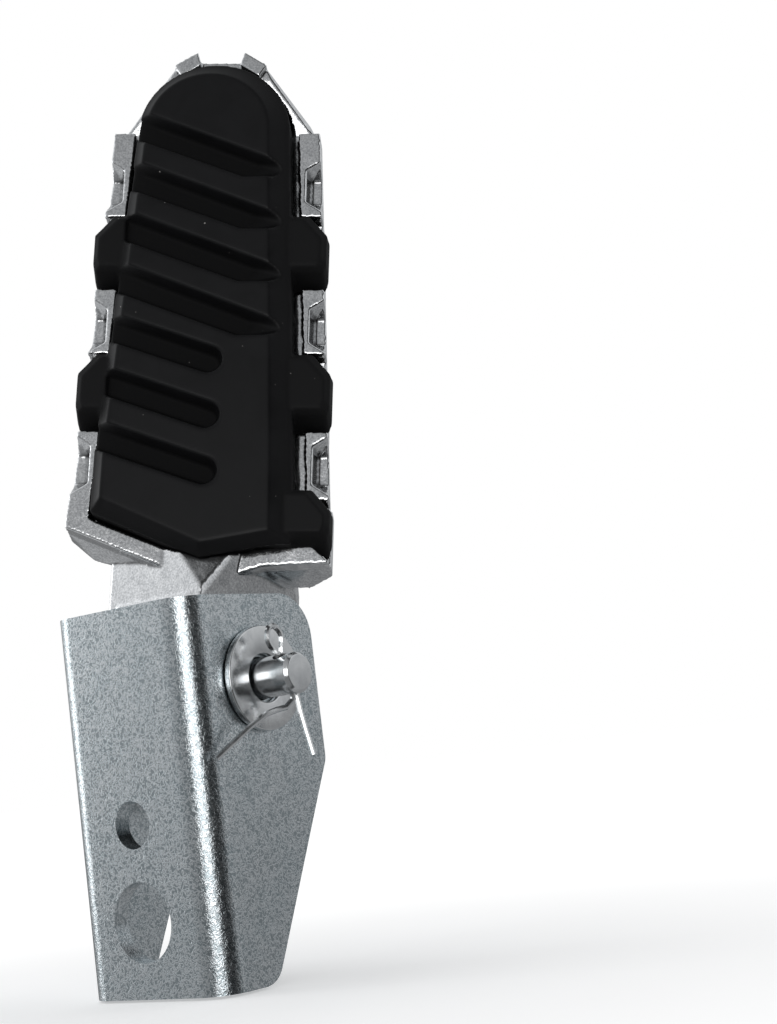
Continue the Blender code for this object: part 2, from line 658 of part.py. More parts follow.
def groove_mesh(index):
    """A groove in the tread: the four nearest the tip run right across, the others stop with a round end."""
    across = index < 4
    start, length, slope = (-20.0, 60.0, GROOVE_SLOPE) if across else (-22.0, 25.0, SLOT_SLOPE)
    half = GROOVE_WIDTH / 2
    outline = [(-8, -half), *arc((length, 0), half, -90, 90, 8), (-8, half)]
    mesh = prism_mesh(f"groove_{index}", outline, 1, PAD_TOP - 3, PAD_TOP + GROOVE_DEPTH)
    at = Vector((start, 0, GROOVE_FIRST_Z - GROOVE_PITCH * index + (-16.0 - start) * tan(slope)))
    mesh.transform(Matrix.Translation(at * MM) @ Matrix.Rotation(slope, 4, "Y"))
    return mesh


def build_backing():
    """The steel plate moulded under the rubber, which the screws pull down."""
    outline = rounded([(-11.0, 37.6), (11.6, 37.6), (9.2, 112.8), (-8.6, 112.8)], 3)
    low = PAD_FOOT - BACKING - GAP
    sheet = prism_mesh("sheet", outline, 1, low, low + BACKING)
    plate = place("pad_backing_plate", sheet, PARTS, PLATFORM, ZINC)
    for i, z in enumerate(SCREW_STATIONS):
        cut(plate, cylinder_mesh(f"hole_{i}", SCREW_D + 1.0, -9, 9, 1, (0.6, 0, z)), PLATFORM)


def build_fasteners():
    for label, z in zip(("lower", "upper"), SCREW_STATIONS):
        at = (0.6, 0, z)
        top = PAD_FOOT - BACKING - 2 * GAP
        insert = cylinder_mesh("barrel", INSERT_D, -1.4, top, 1, at, segments=32)
        insert_obj = place(f"pad_insert_{label}", insert, PARTS, PLATFORM, BRIGHT)
        cut(insert_obj, cylinder_mesh("thread_bore", SCREW_D + 2 * GAP, -4.0, top + 1, 1, at), PLATFORM)
        seat = 9.6 + GAP
        disc = cylinder_mesh("disc", SCREW_WASHER_D, seat, seat + 1.0, 1, at)
        washer = place(f"screw_washer_{label}", disc, PARTS, PLATFORM, BRIGHT)
        cut(washer, cylinder_mesh("bore", SCREW_D + 2 * GAP, seat - 1, seat + 2, 1, at), PLATFORM)
        build_screw(label, at, seat + 1.0 + GAP)


def build_screw(label, at, under_head):
    """A pan head screw with a cross recess, driven from the underside."""
    head, shank = SCREW_HEAD_D / 2, SCREW_D / 2
    profile = [(0, -1.2), (shank, -1.2), (shank, under_head), (head, under_head), (head, under_head + 1.4)]
    crown = arc((0, under_head + 1.4), 1.0, 20, 90, 5)
    profile += [(x * head, under_head + 1.4 + (y - under_head - 1.4) * (SCREW_HEAD - 1.4)) for x, y in crown]
    profile[-1] = (0, under_head + SCREW_HEAD)
    screw = place(f"pad_screw_{label}", turned_mesh("turned", profile, 1, at), PARTS, PLATFORM, BRIGHT)
    high = under_head + SCREW_HEAD
    for turn in (0, 90):
        mouth = [(x, 0.2, z) for x in (-2.3, 2.3) for z in (-0.5, 0.5)]
        bottom = [(x, -2.0, z) for x in (-0.8, 0.8) for z in (-0.35, 0.35)]
        wing = hull_mesh(f"recess_{turn}", mouth + bottom)
        spin = Matrix.Rotation(radians(turn + 12), 4, "Y")
        wing.transform(Matrix.Translation(Vector((at[0], high, at[2])) * MM) @ spin)
        cut(screw, wing, PLATFORM)


build_bracket()
build_pin()
build_pin_washer()
build_split_pin()
build_peg_body()
build_side_plates()
build_sleeve()
build_pad()
build_backing()
build_fasteners()
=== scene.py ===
"""Looks for the folding foot peg: plated bracket and pin, cast platform and moulded rubber pad.

Lengths are in millimetres and MM turns them into metres. The platform's own axes are X across it, Y from the
tread towards the underside and Z from the hinge end to the tip.
"""

import json
from math import atan2, cos, pi, radians, sin

import bmesh
import bpy
from mathutils import Matrix, Vector


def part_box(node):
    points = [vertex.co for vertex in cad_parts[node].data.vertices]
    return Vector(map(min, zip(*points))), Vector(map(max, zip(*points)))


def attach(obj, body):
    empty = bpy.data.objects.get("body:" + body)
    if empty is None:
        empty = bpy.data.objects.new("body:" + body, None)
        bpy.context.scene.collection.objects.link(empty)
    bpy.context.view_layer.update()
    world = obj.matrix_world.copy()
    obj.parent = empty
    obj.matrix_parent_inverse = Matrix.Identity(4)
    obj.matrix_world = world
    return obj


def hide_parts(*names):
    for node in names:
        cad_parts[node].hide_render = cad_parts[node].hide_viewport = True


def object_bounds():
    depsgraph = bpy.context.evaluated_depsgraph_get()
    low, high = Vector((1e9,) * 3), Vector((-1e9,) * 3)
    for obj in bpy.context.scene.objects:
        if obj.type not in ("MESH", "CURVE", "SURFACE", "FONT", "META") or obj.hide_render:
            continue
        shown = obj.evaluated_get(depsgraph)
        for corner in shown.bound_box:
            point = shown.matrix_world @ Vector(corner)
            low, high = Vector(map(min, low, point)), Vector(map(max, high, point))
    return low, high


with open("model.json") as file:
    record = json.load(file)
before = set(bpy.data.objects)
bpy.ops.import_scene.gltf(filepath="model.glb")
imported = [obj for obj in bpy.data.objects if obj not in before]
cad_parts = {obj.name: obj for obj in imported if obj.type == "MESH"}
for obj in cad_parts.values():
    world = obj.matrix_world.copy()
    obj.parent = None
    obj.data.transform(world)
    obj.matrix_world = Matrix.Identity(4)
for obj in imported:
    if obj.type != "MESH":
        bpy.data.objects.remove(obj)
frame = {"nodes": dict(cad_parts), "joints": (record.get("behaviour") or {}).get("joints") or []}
cad_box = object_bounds()

MM = 0.001
JOINTS = {joint["name"]: joint for joint in frame["joints"]}
HINGE = Matrix.Translation(Vector(JOINTS["peg_fold"]["pos_m"]))
LEAN = radians(13)
TWIST = radians(37)
TANG = HINGE @ Matrix.Rotation(-LEAN, 4, "X")
PLATFORM = TANG @ Matrix.Translation(Vector((7.3, -7.6, 0)) * MM) @ Matrix.Rotation(TWIST, 4, "Z")

# Bracket, as in the CAD
PLATE = 3.6
BEND_RADIUS = 6.5
EAR_TOP_ROUND = 9.0
EAR_WIDEST_Z = 17.4
EAR_FOOT_Y = 16.0
EAR_FOOT_ROUND = 5.6
EAR_BEND_ROUND = 3.4
BOLT_HOLES = ((9.2, 9.3), (15.4, -9.3))  # diameter and height
PIN_D = 8.0
PIN_BORE = 8.6
EDGE = 0.45  # rounding that plating leaves on a sheared edge

# Pin and washer
PIN_HEAD = 2.6
PIN_ROUND = 0.22
SPLIT_FROM_END = 3.5
SPLIT_BORE = 3.2
SPLIT_TILT = radians(18)
WASHER_BORE = 9.6
WASHER_ROUND = 0.3

# Even remeshing of the moulded pieces: voxel size, and how often the skin is relaxed
CAST_RECAST = (0.30, 3)
TREAD_RECAST = (0.36, 5)

# Pad
PAD_TOP = -5.2
PAD_FOOT = 3.7
LOBES = ((52.0, 68.4, 26.4), (83.6, 99.6, 24.8))  # low end, high end and reach of each pair of lobes
LOBE_CREST = -3.1
LOBE_LAP = 0.8  # how far a lobe starts inside the pad's side
FOOT_LOBE = (25.6, 39.0, 27.2, -3.6, 15)  # on the right only: low end, high end, reach, crest and start
GROOVE_DEPTH = 3.5
GROOVE_FIRST_Z = 118.9
GROOVE_PITCH = 12.0
GROOVE_SLOPE = radians(21.3)
SLOT_SLOPE = radians(19)

# Camera: where it looks from, in degrees, and how far the picture's middle lies from the bracket's foot
AZIMUTH = 37.87
ELEVATION = -7.23
ROLL = radians(7.13)
DISTANCE = 371.0
AIM_RIGHT = 44.7
AIM_UP = 92.8
LENS = 68.57

# Stage and light
FLOOR_HALF = 30.0  # in metres
FLOOR_DROP = 0.0005
FLOOR_FADE = ((0.05, 0.0), (0.22, 1.0))  # by distance in metres: grey close by, the backdrop's white beyond

# The sky that only reflections see: brightness by height, from straight down at 0 to straight up at 1, and by
# azimuth in degrees from -Y. The narrow bright and dark bands draw the streaks along the bracket's bends.
SKY_BY_HEIGHT = (
    (0.0, 0.30), (0.40, 0.26), (0.47, 0.20), (0.52, 0.38), (0.60, 0.50), (0.72, 0.62), (1.0, 0.42),
)
SKY_BY_AZIMUTH = (
    (-180, 0.48), (-110, 0.46), (-92, 0.95), (-60, 0.95), (-46, 0.66), (-20, 0.54), (12, 0.38), (54, 0.34),
    (60, 0.05), (98, 0.06), (107, 0.72), (117, 0.66), (128, 0.60), (180, 0.48),
)
SKY_STRENGTH = 2.0

# Name, azimuth and elevation in degrees, distance, width and height in metres, and power in watts
LIGHTS = (("key", 36, 4, 0.9, (0.44, 0.50), 1.75), ("fill_left", -70, 8, 1.0, (0.24, 0.60), 1.2))


# ---------------------------------------------------------------- mesh helpers


def mesh_from(name, bm):
    bmesh.ops.recalc_face_normals(bm, faces=bm.faces)
    mesh = bpy.data.meshes.new(name)
    bm.to_mesh(mesh)
    bm.free()
    return mesh


def prism(name, outline, axis, start, end):
    """A flat outline pushed along one axis. Its two coordinates are the other axes in x, y, z order."""
    bm = bmesh.new()
    others = [i for i in range(3) if i != axis]
    corners = []
    for point in outline:
        at = Vector((0, 0, 0))
        at[others[0]], at[others[1]], at[axis] = point[0], point[1], start
        corners.append(bm.verts.new(at * MM))
    pushed = bmesh.ops.extrude_face_region(bm, geom=[bm.faces.new(corners)])
    step = Vector((0, 0, 0))
    step[axis] = (end - start) * MM
    moved = [v for v in pushed["geom"] if isinstance(v, bmesh.types.BMVert)]
    bmesh.ops.translate(bm, verts=moved, vec=step)
    return mesh_from(name, bm)


def hull(name, points):
    bm = bmesh.new()
    for point in points:
        bm.verts.new(Vector(point) * MM)
    result = bmesh.ops.convex_hull(bm, input=bm.verts)
    unused = {v for v in result["geom_interior"] if isinstance(v, bmesh.types.BMVert)}
    bmesh.ops.delete(bm, geom=list(unused), context="VERTS")
    return mesh_from(name, bm)


def turned(name, profile, axis, steps=96):
    """A profile of (radius, distance along the axis) spun into a closed skin along X (axis 0) or Z (axis 2)."""
    bm = bmesh.new()
    corners = [bm.verts.new(Vector((radius, 0, along)) * MM) for radius, along in profile]
    edges = [bm.edges.new(pair) for pair in zip(corners, corners[1:])]
    bmesh.ops.spin(
        bm, geom=corners + edges, cent=(0, 0, 0), axis=(0, 0, 1), angle=2 * pi, steps=steps, use_merge=True
    )
    bmesh.ops.remove_doubles(bm, verts=bm.verts, dist=1e-6)
    if axis == 0:
        bmesh.ops.transform(bm, matrix=Matrix.Rotation(pi / 2, 4, "Y"), verts=bm.verts)
    return mesh_from(name, bm)


def arc(centre, radius, first, last, steps):
    """Points round an arc, angles in degrees."""
    turns = [radians(first + (last - first) * i / steps) for i in range(steps + 1)]
    return [(centre[0] + radius * cos(t), centre[1] + radius * sin(t)) for t in turns]


def softened(profile, radius, steps=4):
    """A turned profile with its inner corners rounded by this radius."""
    found = [profile[0]]
    for before, corner, after in zip(profile, profile[1:], profile[2:]):
        here = Vector(corner)
        back = (Vector(before) - here).normalized()
        ahead = (Vector(after) - here).normalized()
        half = back.angle(ahead) / 2
        if half > radians(85):
            found.append(corner)
            continue
        middle = here + (back + ahead).normalized() * radius / sin(half)
        start = here + back * radius * cos(half) / sin(half)
        end = here + ahead * radius * cos(half) / sin(half)
        first = atan2(start.y - middle.y, start.x - middle.x)
        sweep = atan2(end.y - middle.y, end.x - middle.x) - first
        sweep = (sweep + pi) % (2 * pi) - pi
        for i in range(steps + 1):
            turn = first + sweep * i / steps
            found.append((middle.x + radius * cos(turn), middle.y + radius * sin(turn)))
    return found + [profile[-1]]


def helper(mesh, matrix):
    obj = bpy.data.objects.new(mesh.name, mesh)
    bpy.context.scene.collection.objects.link(obj)
    obj.matrix_world = matrix
    return obj


def combine(name, base, steps, matrix):
    """base with each (operation, mesh) of steps applied, as one finished mesh in matrix's own axes."""
    obj = helper(base, matrix)
    helpers = []
    for operation, mesh in steps:
        other = helper(mesh, matrix)
        helpers.append(other)
        modifier = obj.modifiers.new(mesh.name, "BOOLEAN")
        modifier.operation = operation
        modifier.solver = "EXACT"
        modifier.object = other
    bpy.context.view_layer.update()
    graph = bpy.context.evaluated_depsgraph_get()
    made = bpy.data.meshes.new_from_object(obj.evaluated_get(graph))
    made.name = name
    for used in [obj, *helpers]:
        bpy.data.objects.remove(used, do_unlink=True)
    return made


def add_piece(name, mesh, body, node, look, matrix=Matrix.Identity(4)):
    """A piece that rides on a body and stands for a CAD node. Its mesh is in the axes that matrix gives."""
    obj = bpy.data.objects.new(name, mesh)
    bpy.context.scene.collection.objects.link(obj)
    obj.matrix_world = matrix
    mesh.materials.clear()
    mesh.materials.append(look)
    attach(obj, body)
    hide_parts(node)
    return obj


def shade(obj, sharp_angle):
    for polygon in obj.data.polygons:
        polygon.use_smooth = True
    obj.data.set_sharp_from_angle(angle=radians(sharp_angle))


def round_edges(obj, width, segments=3, limit=28):
    bevel = obj.modifiers.new("round_edges", "BEVEL")
    bevel.width = width * MM
    bevel.segments = segments
    bevel.limit_method = "ANGLE"
    bevel.angle_limit = radians(limit)


def recast(obj, voxel, smoothing):
    """Remeshes evenly and relaxes the skin, which rounds every edge as a mould does."""
    remesh = obj.modifiers.new("recast", "REMESH")
    remesh.mode = "VOXEL"
    remesh.voxel_size = voxel * MM
    remesh.use_smooth_shade = True
    relax = obj.modifiers.new("relax", "SMOOTH")
    relax.factor = 0.5
    relax.iterations = smoothing


# ---------------------------------------------------------------- materials


class Look:
    """A Principled material whose nodes are added one by one."""

    def __init__(self, name):
        self.material = bpy.data.materials.new(name)
        self.material.use_nodes = True
        self.tree = self.material.node_tree
        self.shader = self.tree.nodes["Principled BSDF"]
        self.place = self.tree.nodes.new("ShaderNodeTexCoord").outputs["Object"]

    def node(self, kind, **settings):
        made = self.tree.nodes.new(kind)
        for key, value in settings.items():
            setattr(made, key, value)
        return made

    def link(self, a, b):
        self.tree.links.new(a, b)

    def noise(self, size, detail=3.0, roughness=0.5, distortion=0.0):
        """Noise whose features are about this many millimetres."""
        made = self.node("ShaderNodeTexNoise")
        self.link(self.place, made.inputs["Vector"])
        made.inputs["Scale"].default_value = 1 / (size * MM)
        made.inputs["Detail"].default_value = detail
        made.inputs["Roughness"].default_value = roughness
        made.inputs["Distortion"].default_value = distortion
        return made.outputs["Fac"]

    def ramp(self, value, *stops):
        """A colour ramp. Each stop is (position, colour or grey)."""
        made = self.node("ShaderNodeValToRGB")
        elements = made.color_ramp.elements
        while len(elements) < len(stops):
            elements.new(0.5)
        for element, (position, colour) in zip(elements, stops):
            element.position = position
            grey = isinstance(colour, (int, float))
            element.color = (colour, colour, colour, 1) if grey else (*colour, 1)
        self.link(value, made.inputs["Fac"])
        return made.outputs["Color"]

    def mixed(self, amount, first, second, blend="MIX"):
        made = self.node("ShaderNodeMix", data_type="RGBA", blend_type=blend)
        for socket, value in ((0, amount), (6, first), (7, second)):
            if isinstance(value, bpy.types.NodeSocket):
                self.link(value, made.inputs[socket])
            elif isinstance(value, (int, float)):
                made.inputs[socket].default_value = value
            else:
                made.inputs[socket].default_value = (*value, 1)
        return made.outputs[2]

    def bump(self, height, strength, distance, under=None):
        made = self.node("ShaderNodeBump")
        made.inputs["Strength"].default_value = strength
        made.inputs["Distance"].default_value = distance * MM
        self.link(height, made.inputs["Height"])
        if under:
            self.link(under, made.inputs["Normal"])
        return made.outputs["Normal"]

    def finish(self, colour, roughness, normal, metallic):
        self.link(colour, self.shader.inputs["Base Color"])
        self.link(roughness, self.shader.inputs["Roughness"])
        self.link(normal, self.shader.inputs["Normal"])
        self.shader.inputs["Metallic"].default_value = metallic
        return self.material


def zinc_sheet():
    """Zinc plated sheet: a fine worm-like grain in both the colour and the surface."""
    look = Look("zinc_sheet")
    worms = look.ramp(look.noise(0.80, 1.0, 0.5, 1.0), (0.38, 0.0), (0.50, 1.0), (0.62, 0.0))
    fine = look.noise(0.28, 3.0, 0.6)
    cloud = look.noise(9.0, 3.0, 0.5)
    tint = look.ramp(cloud, (0.35, (0.47, 0.54, 0.57)), (0.65, (0.58, 0.62, 0.64)))
    colour = look.mixed(0.74, tint, look.ramp(worms, (0.0, (0.33, 0.38, 0.40)), (1.0, (0.86, 0.89, 0.91))))
    roughness = look.ramp(fine, (0.3, 0.17), (0.7, 0.28))
    skin = look.bump(worms, 0.28, 0.05)
    return look.finish(colour, roughness, look.bump(fine, 0.35, 0.05, skin), 1.0)


def bright_plating():
    """Bright plated turned steel, hazy from handling."""
    look = Look("bright_plating")
    haze = look.noise(3.2, 4.0, 0.55, 0.4)
    fine = look.noise(0.22, 2.0, 0.5)
    colour = look.ramp(haze, (0.3, (0.62, 0.635, 0.645)), (0.7, (0.80, 0.81, 0.815)))
    roughness = look.ramp(haze, (0.3, 0.13), (0.7, 0.25))
    return look.finish(colour, roughness, look.bump(fine, 0.14, 0.03), 1.0)


def plated_casting():
    """Bright plated die casting: a wavy, grainy skin with duller patches, painted shade in the creases and a
    painted highlight on the convex edges.
    """
    look = Look("plated_casting")
    wave = look.noise(4.5, 3.0, 0.5)
    grain = look.noise(0.42, 4.0, 0.62, 0.3)
    blotch = look.noise(2.2, 4.0, 0.6, 0.8)
    colour = look.mixed(
        0.42,
        look.ramp(blotch, (0.3, (0.54, 0.55, 0.56)), (0.7, (0.80, 0.805, 0.81))),
        look.ramp(grain, (0.38, (0.28, 0.29, 0.30)), (0.62, (0.90, 0.90, 0.905))),
    )
    crease_shade_edge_highlight = look.node("ShaderNodeNewGeometry").outputs["Pointiness"]
    # Painted shade: pointiness darkens the colour in the concave creases.
    colour = look.mixed(1.0, colour, look.ramp(crease_shade_edge_highlight, (0.46, 0.12), (0.495, 1.0)), "MULTIPLY")
    # Painted highlight: pointiness lightens the colour on the convex edges.
    colour = look.mixed(1.0, colour, look.ramp(crease_shade_edge_highlight, (0.505, 0.0), (0.56, 0.22)), "ADD")
    glaze = look.ramp(blotch, (0.3, 0.08), (0.7, 0.20))
    roughness = look.mixed(0.5, glaze, look.ramp(grain, (0.3, 0.08), (0.7, 0.22)))
    skin = look.bump(wave, 0.30, 0.22)
    return look.finish(colour, roughness, look.bump(grain, 0.22, 0.06, skin), 1.0)


def moulded_rubber():
    """Black satin rubber: fine grain, faint smears, pale dust specks, and painted shade deep in the grooves."""
    look = Look("moulded_rubber")
    fine = look.noise(0.18, 2.0, 0.5)
    smear = look.noise(7.0, 4.0, 0.55, 0.6)
    specks = look.node("ShaderNodeTexVoronoi", feature="F1")
    look.link(look.place, specks.inputs["Vector"])
    specks.inputs["Scale"].default_value = 1 / (2.6 * MM)
    dot = look.ramp(specks.outputs["Distance"], (0.045, 1.0), (0.075, 0.0))
    rare = look.ramp(look.noise(2.6, 1.0), (0.60, 0.0), (0.66, 1.0))
    dust = look.mixed(1.0, dot, rare, "MULTIPLY")
    # Painted shade: the colour darkens with depth below the tread's face, down to the groove floors. The same
    # depth mask also roughens the grooves.
    axes = look.node("ShaderNodeSeparateXYZ")
    look.link(look.place, axes.inputs["Vector"])
    depth = look.node("ShaderNodeMapRange")
    depth.inputs["From Min"].default_value = (PAD_TOP + 0.3) * MM
    depth.inputs["From Max"].default_value = (PAD_TOP + GROOVE_DEPTH) * MM
    look.link(axes.outputs["Y"], depth.inputs["Value"])
    deep = look.ramp(depth.outputs["Result"], (0.0, 0.0), (1.0, 1.0))
    tone = look.ramp(smear, (0.3, (0.0036, 0.0036, 0.0040)), (0.7, (0.0056, 0.0056, 0.0063)))
    # Painted shade deep in the grooves.
    tone = look.mixed(deep, tone, (0.0022, 0.0022, 0.0024))
    colour = look.mixed(dust, tone, (0.30, 0.29, 0.28))
    roughness = look.mixed(deep, look.ramp(smear, (0.3, 0.34), (0.7, 0.46)), (0.75, 0.75, 0.75))
    look.shader.inputs["Specular IOR Level"].default_value = 0.20
    return look.finish(colour, roughness, look.bump(fine, 0.20, 0.02), 0.0)


ZINC = zinc_sheet()
BRIGHT = bright_plating()
CASTING = plated_casting()
RUBBER = moulded_rubber()


# ---------------------------------------------------------------- bracket


def build_bracket():
    low, high = (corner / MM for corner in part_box("mount_bracket"))
    left, right, deep = low.x, high.x, high.y
    inner_radius = BEND_RADIUS - PLATE
    section = [(left, deep + 5)]
    section += arc((left + BEND_RADIUS, BEND_RADIUS), BEND_RADIUS, 180, 270, 24)
    section += arc((right - BEND_RADIUS, BEND_RADIUS), BEND_RADIUS, 270, 360, 24)
    section += [(right, deep + 5), (right - PLATE, deep + 5)]
    section += arc((right - BEND_RADIUS, BEND_RADIUS), inner_radius, 360, 270, 16)
    section += arc((left + BEND_RADIUS, BEND_RADIUS), inner_radius, 270, 180, 16)
    section += [(left + PLATE, deep + 5)]
    ear = [(-1, low.z), (EAR_FOOT_Y - 4.5, low.z)]
    ear += arc((EAR_FOOT_Y - 4.7, low.z + EAR_FOOT_ROUND), EAR_FOOT_ROUND, -72, -32, 8)
    ear += arc((deep - EAR_BEND_ROUND, EAR_WIDEST_Z + 0.9), EAR_BEND_ROUND, -28, 0, 6)
    ear += arc((deep - EAR_TOP_ROUND, high.z - EAR_TOP_ROUND), EAR_TOP_ROUND, 0, 90, 20)
    ear += [(-1, high.z)]
    middle = (left + right) / 2
    steps = [("INTERSECT", prism("ear_shape", ear, 0, left - 2, right + 2))]
    for size, height in BOLT_HOLES:
        outline = arc((0, height), size / 2, 0, 360, 64)[:-1]
        steps.append(("DIFFERENCE", prism("bolt_hole", outline, 1, -3, PLATE + 3)))
    pin = HINGE.translation / MM
    bore = arc((pin.y, pin.z), PIN_BORE / 2, 0, 360, 48)[:-1]
    steps.append(("DIFFERENCE", prism("pin_bore", bore, 0, middle - 25, middle + 25)))
    base = prism("section", section, 2, low.z - 5, high.z + 5)
    mesh = combine("bracket_plate", base, steps, Matrix.Identity(4))
    bracket = add_piece("bracket_plate", mesh, "bracket", "mount_bracket", ZINC)
    shade(bracket, 30)
    round_edges(bracket, EDGE)


# ---------------------------------------------------------------- pin, washer and split pin


def local_span(node):
    """A node's lowest and highest x, measured from the hinge, in millimetres."""
    low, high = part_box(node)
    return (low.x - HINGE.translation.x) / MM, (high.x - HINGE.translation.x) / MM


def build_pin():
    start, end = local_span("pivot_pin")
    head = (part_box("pivot_pin")[1].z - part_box("pivot_pin")[0].z) / MM / 2
    seat, shank = start + PIN_HEAD, PIN_D / 2
    profile = [(0, start), (head - 0.1, start + 0.05), (head, seat), (shank, seat), (shank, end - 0.8)]
    profile += [(shank - 0.55, end), (0, end - 0.05)]
    mesh = turned("hinge_pin", softened(profile, PIN_ROUND), 0)
    wide, deep = SPLIT_BORE / 2, PIN_D + 1
    hole = turned("hole", [(0, -deep), (wide, -deep), (wide, deep), (0, deep)], 2, 40)
    at = Matrix.Translation(((end - SPLIT_FROM_END) * MM, 0, 0))
    hole.transform(at @ Matrix.Rotation(SPLIT_TILT, 4, "X"))
    mesh = combine("hinge_pin_turned", mesh, [("DIFFERENCE", hole)], HINGE)
    pin = add_piece(
        "hinge_pin_turned", mesh, "hinge_pin", "pivot_pin", BRIGHT, HINGE
    )
    shade(pin, 32)


def build_washer():
    start, end = local_span("pin_washer")
    outer = (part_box("pin_washer")[1].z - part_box("pin_washer")[0].z) / MM / 2
    bore = WASHER_BORE / 2
    seam = ((bore + outer) / 2, start)
    ring = [seam, (outer, start), (outer, end), (bore, end), (bore, start), seam]
    mesh = turned("washer", softened(ring, WASHER_ROUND), 0)
    washer = add_piece(
        "pin_washer_ring", mesh, "washer", "pin_washer", BRIGHT, HINGE
    )
    shade(washer, 35)


# ---------------------------------------------------------------- casting


def build_casting():
    mesh = frame["nodes"]["peg_body"].data.copy()
    bm = bmesh.new()
    bm.from_mesh(mesh)
    bmesh.ops.remove_doubles(bm, verts=bm.verts, dist=1e-6)
    bm.to_mesh(mesh)
    bm.free()
    mesh.name = "cast_platform"
    casting = add_piece("cast_platform", mesh, "peg", "peg_body", CASTING)
    recast(casting, *CAST_RECAST)
    shade(casting, 180)


# ---------------------------------------------------------------- rubber pad


def side_left(z):
    return -17.0 - (118.0 - z) * 0.060


def side_right(z):
    return 16.0 + (118.0 - z) * 0.042


def pad_outline(inset, right=None):
    """The pad's edge in (x, z), pointed at the hinge end and round at the tip.

    right is the right side's own inset, where it differs.
    """
    across = inset if right is None else right
    low = [(side_left(46) + inset, 46), (-21.4 + inset, 33.4 + inset), (1.2, 23.9 + inset * 1.2)]
    low += [(12.2, 27.0 + inset), (19.4 - across, 27.0 + inset), (side_right(46) - across, 46)]
    low.append((side_right(108) - across, 108))
    dome = arc((-0.3 - (across - inset) / 2, 118.2), 16.3 - (inset + across) / 2, 0, 180, 40)
    return low + dome


def lobe(name, side, low, high, reach, crest, inner):
    """A lobe that reaches out through the gap between two teeth, with chamfered corners."""
    low, high = low + 0.2, high - 0.2
    points = []
    for depth, edge, ramp in ((crest, 1.5, 3.6), (crest + 1.3, 0.3, 2.4), (PAD_FOOT - 0.2, 0.0, 0.0)):
        ends = ((low + ramp, 0.6), (low + 2.0 + ramp, 0.0), (high - edge - 4.4, 0.0), (high - edge, 3.8))
        for z, out in ends:
            points.append((side * (reach - edge - out), depth, z))
            points.append((side * inner, depth, z))
    return hull(name, points)


def groove(index):
    """The four nearest the tip run out through the right side, and the other three stop with a round end."""
    across = index < 4
    points = []
    for depth, grow in ((PAD_TOP - 1.2, 0.5), (PAD_TOP + GROOVE_DEPTH, -0.9)):
        if across:
            floor = depth if grow > 0 else PAD_TOP + 1.0
            points += [(-14, depth, -3.25 - grow), (-14, depth, 3.25 + grow)]
            points += [(25.5, depth, -2.9 - grow), (26.5, depth, 2.9 + grow)]
            points += [(31.0, floor, -0.9 - grow * 0.5), (35.0 + grow, floor, 2.9 + grow)]
        else:
            ends = arc((18.2, 0), 2.85 + grow, -90, 90, 12)
            points += [(x, depth, z) for x, z in [(-14, -2.95 - grow), (-14, 2.95 + grow), *ends]]
    mesh = hull(f"groove_{index}", points)
    at = Vector((-16.0, 0, GROOVE_FIRST_Z - GROOVE_PITCH * index + (0 if across else 0.6))) * MM
    slope = GROOVE_SLOPE if across else SLOT_SLOPE
    mesh.transform(Matrix.Translation(at) @ Matrix.Rotation(slope, 4, "Y"))
    return mesh


def build_pad():
    base = prism("base", pad_outline(0), 1, PAD_TOP + 2.2, PAD_FOOT)
    top = [(x, PAD_TOP, z) for x, z in pad_outline(2.3, 4.6)]
    top += [(x, PAD_TOP + 2.4, z) for x, z in pad_outline(0.05)]
    steps = [("UNION", hull("crown", top))]
    steps += [("DIFFERENCE", groove(i)) for i in range(7)]
    for i, (low, high, reach) in enumerate(LOBES):
        middle = (low + high) / 2
        for side, edge in ((-1, -side_left(middle)), (1, side_right(middle))):
            made = lobe(f"lobe_{i}_{side}", side, low, high, reach, LOBE_CREST, edge - LOBE_LAP)
            steps.append(("UNION", made))
    steps.append(("UNION", lobe("lobe_foot", 1, *FOOT_LOBE)))
    mesh = combine("rubber_tread", base, steps, PLATFORM)
    pad = add_piece("rubber_tread", mesh, "peg", "rubber_pad", RUBBER, PLATFORM)
    recast(pad, *TREAD_RECAST)
    shade(pad, 180)


# ---------------------------------------------------------------- carried-over CAD nodes


def dress(node, look, width, sharp=30):
    """A CAD node that stays, with a finished material and rounded edges."""
    obj = frame["nodes"][node]
    obj.data.materials.clear()
    obj.data.materials.append(look)
    weld = obj.modifiers.new("weld", "WELD")
    weld.merge_threshold = 1e-6
    if width:
        round_edges(obj, width, 2, sharp)
    for polygon in obj.data.polygons:
        polygon.use_smooth = True
    smooth = obj.modifiers.new("smooth_by_angle", "EDGE_SPLIT")
    smooth.split_angle = radians(sharp + 6)


def dress_cad_nodes():
    for name in ("left", "right"):
        dress(f"side_plate_{name}", ZINC, 0.2)
    for name in ("lower", "upper"):
        dress(f"pad_insert_{name}", BRIGHT, 0)
        dress(f"screw_washer_{name}", BRIGHT, 0)
        dress(f"pad_screw_{name}", BRIGHT, 0)
    dress("pad_backing_plate", ZINC, 0)
    dress("pivot_sleeve", BRIGHT, 0)
    dress("split_pin", BRIGHT, 0)


# ---------------------------------------------------------------- stage, light and camera


